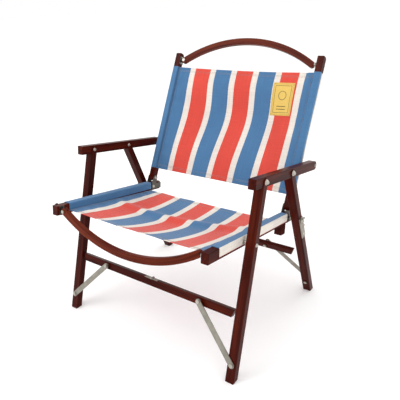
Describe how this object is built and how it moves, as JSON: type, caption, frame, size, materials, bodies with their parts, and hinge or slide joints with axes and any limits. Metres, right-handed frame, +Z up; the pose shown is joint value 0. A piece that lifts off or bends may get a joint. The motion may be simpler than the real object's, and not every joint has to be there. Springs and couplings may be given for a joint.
{
  "type": "folding camp chair",
  "caption": "Low wooden folding chair with a striped canvas seat and high back, flat arms, curved spreader bows and a hinged cross bar between each pair of legs.",
  "frame": {"origin": "on the floor under the middle of the bounding box", "axes": "+Z up, +X to the right seen from the front, the sitter faces -Y"},
  "size_m": [0.5976, 0.6181, 0.7211],
  "materials": {
    "varnished_wood": "dark red-brown hardwood under gloss varnish",
    "bow_wood": "bent laminated hardwood under gloss varnish",
    "striped_canvas": "heavy cotton canvas striped blue, cream and red",
    "patch_canvas": "plain yellow canvas patch with a stitched edge",
    "steel": "satin plated steel",
    "black_steel": "black cap nuts"
  },
  "bodies": {
    "left_frame": {"front_leg_left": "varnished_wood", "rear_leg_left": "varnished_wood", "arm_left": "varnished_wood", "seat_rail_left": "varnished_wood", "seat_sleeve_left": "striped_canvas", "rear_bow_block_left": "varnished_wood", "arm_bolts_left": "steel", "rail_bolts_left": "steel", "leg_plate_left": "steel", "stop_peg_left": "steel", "back_bracket_left": "steel", "seat_panel": "striped_canvas", "seat_bow_hinges": "steel", "seat_bow_bolts": "steel", "front_hinge_bolts": "black_steel", "rear_hinge_screws": "steel"},
    "right_frame": {"front_leg_right": "varnished_wood", "rear_leg_right": "varnished_wood", "arm_right": "varnished_wood", "seat_rail_right": "varnished_wood", "seat_sleeve_right": "striped_canvas", "rear_bow_block_right": "varnished_wood", "arm_bolts_right": "steel", "rail_bolts_right": "steel", "leg_plate_right": "steel", "stop_peg_right": "steel", "back_bracket_right": "steel"},
    "front_link_left": {"front_link_left": "steel", "front_link_bolts_left": "steel"},
    "front_bar_left": {"front_bar_left": "varnished_wood", "front_hinge_leaf_left": "steel"},
    "front_link_right": {"front_link_right": "steel", "front_link_bolts_right": "steel"},
    "front_bar_right": {"front_bar_right": "varnished_wood", "front_hinge_leaf_right": "steel"},
    "rear_link_left": {"rear_link_left": "steel", "rear_link_bolts_left": "steel"},
    "rear_bar_left": {"rear_bar_left": "varnished_wood", "rear_hinge_leaf_left": "steel"},
    "rear_link_right": {"rear_link_right": "steel", "rear_link_bolts_right": "steel"},
    "rear_bar_right": {"rear_bar_right": "varnished_wood", "rear_hinge_leaf_right": "steel"},
    "front_bow": {"front_bow": "bow_wood", "front_bow_pin": "steel"},
    "rear_bow": {"rear_bow": "bow_wood", "rear_bow_pin": "steel"},
    "top_bow": {"top_bow": "bow_wood", "top_bow_pin": "steel"},
    "back_left": {"back_upright_left": "varnished_wood", "back_sleeve_left": "striped_canvas", "back_panel": "striped_canvas", "back_patch": "patch_canvas", "top_bow_hinge": "steel", "top_bow_bolt": "steel", "top_hinge_screws": "steel"},
    "back_right": {"back_upright_right": "varnished_wood", "back_sleeve_right": "striped_canvas"},
    "wing_nut_left": {"wing_nut_left": "steel"},
    "wing_nut_right": {"wing_nut_right": "steel"}
  },
  "joints": [
    {"name": "fold", "type": "hinge", "parent": "left_frame", "child": "front_link_left", "pos_m": [-0.278, -0.26796, 0.0427], "axis": [0, -0.9489, 0.3156], "range_deg": [0, 23.14], "deforming": ["seat_panel", "back_panel", "back_patch"]},
    {"name": "front_bar_left_turn", "type": "hinge", "parent": "front_link_left", "child": "front_bar_left", "pos_m": [-0.162, -0.23008, 0.15656], "axis": [0, -0.9489, 0.3156], "range_deg": [-113.24, 0.1]},
    {"name": "front_bar_hinge", "type": "hinge", "parent": "front_bar_left", "child": "front_bar_right", "pos_m": [0, -0.22677, 0.16653], "axis": [0, -0.9489, 0.3156], "range_deg": [-0.1, 180.1]},
    {"name": "front_link_right_turn", "type": "hinge", "parent": "front_bar_right", "child": "front_link_right", "pos_m": [0.162, -0.23008, 0.15656], "axis": [0, -0.9489, 0.3156], "range_deg": [-113.24, 0.1]},
    {"name": "right_frame_turn", "type": "hinge", "parent": "front_link_right", "child": "right_frame", "pos_m": [0.278, -0.26796, 0.0427], "axis": [0, -0.9489, 0.3156], "range_deg": [-0.05, 23.19]},
    {"name": "rear_link_left_turn", "type": "hinge", "parent": "left_frame", "child": "rear_link_left", "pos_m": [-0.278, 0.16677, 0.04237], "axis": [0, -0.9415, -0.3371], "range_deg": [-0.05, 23.19]},
    {"name": "rear_bar_left_turn", "type": "hinge", "parent": "rear_link_left", "child": "rear_bar_left", "pos_m": [-0.162, 0.12632, 0.15534], "axis": [0, -0.9415, -0.3371], "range_deg": [-113.24, 0.1]},
    {"name": "rear_bar_hinge", "type": "hinge", "parent": "rear_bar_left", "child": "rear_bar_right", "pos_m": [0, 0.12278, 0.16523], "axis": [0, -0.9415, -0.3371], "range_deg": [-0.1, 180.1]},
    {"name": "rear_link_right_turn", "type": "hinge", "parent": "rear_bar_right", "child": "rear_link_right", "pos_m": [0.162, 0.12632, 0.15534], "axis": [0, -0.9415, -0.3371], "range_deg": [-113.24, 0.1]},
    {"name": "front_bow_swing", "type": "hinge", "parent": "left_frame", "child": "front_bow", "pos_m": [-0.2195, -0.29048, 0.3393], "axis": [0, 0.9863, -0.165], "range_deg": [-0.1, 70.1]},
    {"name": "rear_bow_swing", "type": "hinge", "parent": "left_frame", "child": "rear_bow", "pos_m": [-0.2195, 0.04001, 0.25662], "axis": [0, 0.9863, -0.165], "range_deg": [-0.1, 70.1]},
    {"name": "top_bow_swing", "type": "hinge", "parent": "back_left", "child": "top_bow", "pos_m": [-0.2195, 0.2694, 0.65365], "axis": [0, -0.8862, 0.4633], "range_deg": [-0.1, 70.1]},
    {"name": "back_fold", "type": "hinge", "parent": "left_frame", "child": "back_left", "pos_m": [-0.2445, 0.0864, 0.3036], "axis": [1, 0, 0], "range_deg": [0, 105]},
    {"name": "back_right_fold", "type": "hinge", "parent": "right_frame", "child": "back_right", "pos_m": [0.2445, 0.0864, 0.3036], "axis": [1, 0, 0], "range_deg": [-0.1, 105.1]},
    {"name": "wing_nut_left_spin", "type": "hinge", "parent": "left_frame", "child": "wing_nut_left", "pos_m": [-0.2923, 0.07208, 0.27862], "axis": [1, 0, 0], "continuous": true},
    {"name": "wing_nut_right_spin", "type": "hinge", "parent": "right_frame", "child": "wing_nut_right", "pos_m": [0.2923, 0.07208, 0.27862], "axis": [1, 0, 0], "continuous": true}
  ],
  "couplings": [
    {"joint": "front_bar_left_turn", "follows": "fold", "ratio": -4.8887},
    {"joint": "front_bar_hinge", "follows": "fold", "ratio": 7.7775},
    {"joint": "front_link_right_turn", "follows": "fold", "ratio": -4.8887},
    {"joint": "right_frame_turn", "follows": "fold", "ratio": 1},
    {"joint": "rear_link_left_turn", "follows": "fold", "ratio": 1},
    {"joint": "rear_bar_left_turn", "follows": "fold", "ratio": -4.8887},
    {"joint": "rear_bar_hinge", "follows": "fold", "ratio": 7.7775},
    {"joint": "rear_link_right_turn", "follows": "fold", "ratio": -4.8887},
    {"joint": "front_bow_swing", "follows": "fold", "ratio": 3.0246},
    {"joint": "rear_bow_swing", "follows": "fold", "ratio": 3.0246},
    {"joint": "top_bow_swing", "follows": "fold", "ratio": 3.0246},
    {"joint": "back_right_fold", "follows": "back_fold", "ratio": 1}
  ]
}
